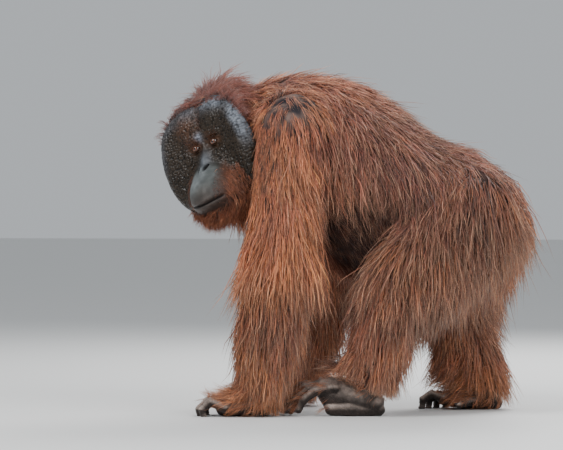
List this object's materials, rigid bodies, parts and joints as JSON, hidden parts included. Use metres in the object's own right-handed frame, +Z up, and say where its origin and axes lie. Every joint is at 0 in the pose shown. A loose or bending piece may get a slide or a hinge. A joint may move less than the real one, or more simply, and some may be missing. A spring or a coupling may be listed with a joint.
{
  "type": "orangutan model",
  "caption": "Life-size still model of an adult male orangutan with broad cheek flanges, walking on all fours with its head turned left; long shaggy coat, hands and feet flat on one level.",
  "frame": {"origin": "middle of the bounding box's bottom face, on the floor between the hands and the feet", "axes": "+Z up; the animal walks towards -X; its left side is towards -Y"},
  "size_m": [0.9948, 0.7522, 0.8811],
  "materials": {
    "coat": "long red-brown hair in locks",
    "hide": "bare grey-brown skin, pebbled on the flanges",
    "eye": "wet brown eyeball"
  },
  "bodies": {
    "root": {"torso": "coat", "neck": "coat", "left_upper_arm": "coat", "left_forearm": "coat", "left_thigh": "coat", "left_shank": "coat", "right_upper_arm": "coat", "right_forearm": "coat", "right_thigh": "coat", "right_shank": "coat", "head": "hide", "left_flange": "hide", "right_flange": "hide", "left_ear": "hide", "right_ear": "hide", "left_hand": "hide", "right_hand": "hide", "left_foot": "hide", "right_foot": "hide", "left_eye": "eye", "right_eye": "eye"}
  },
  "joints": []
}
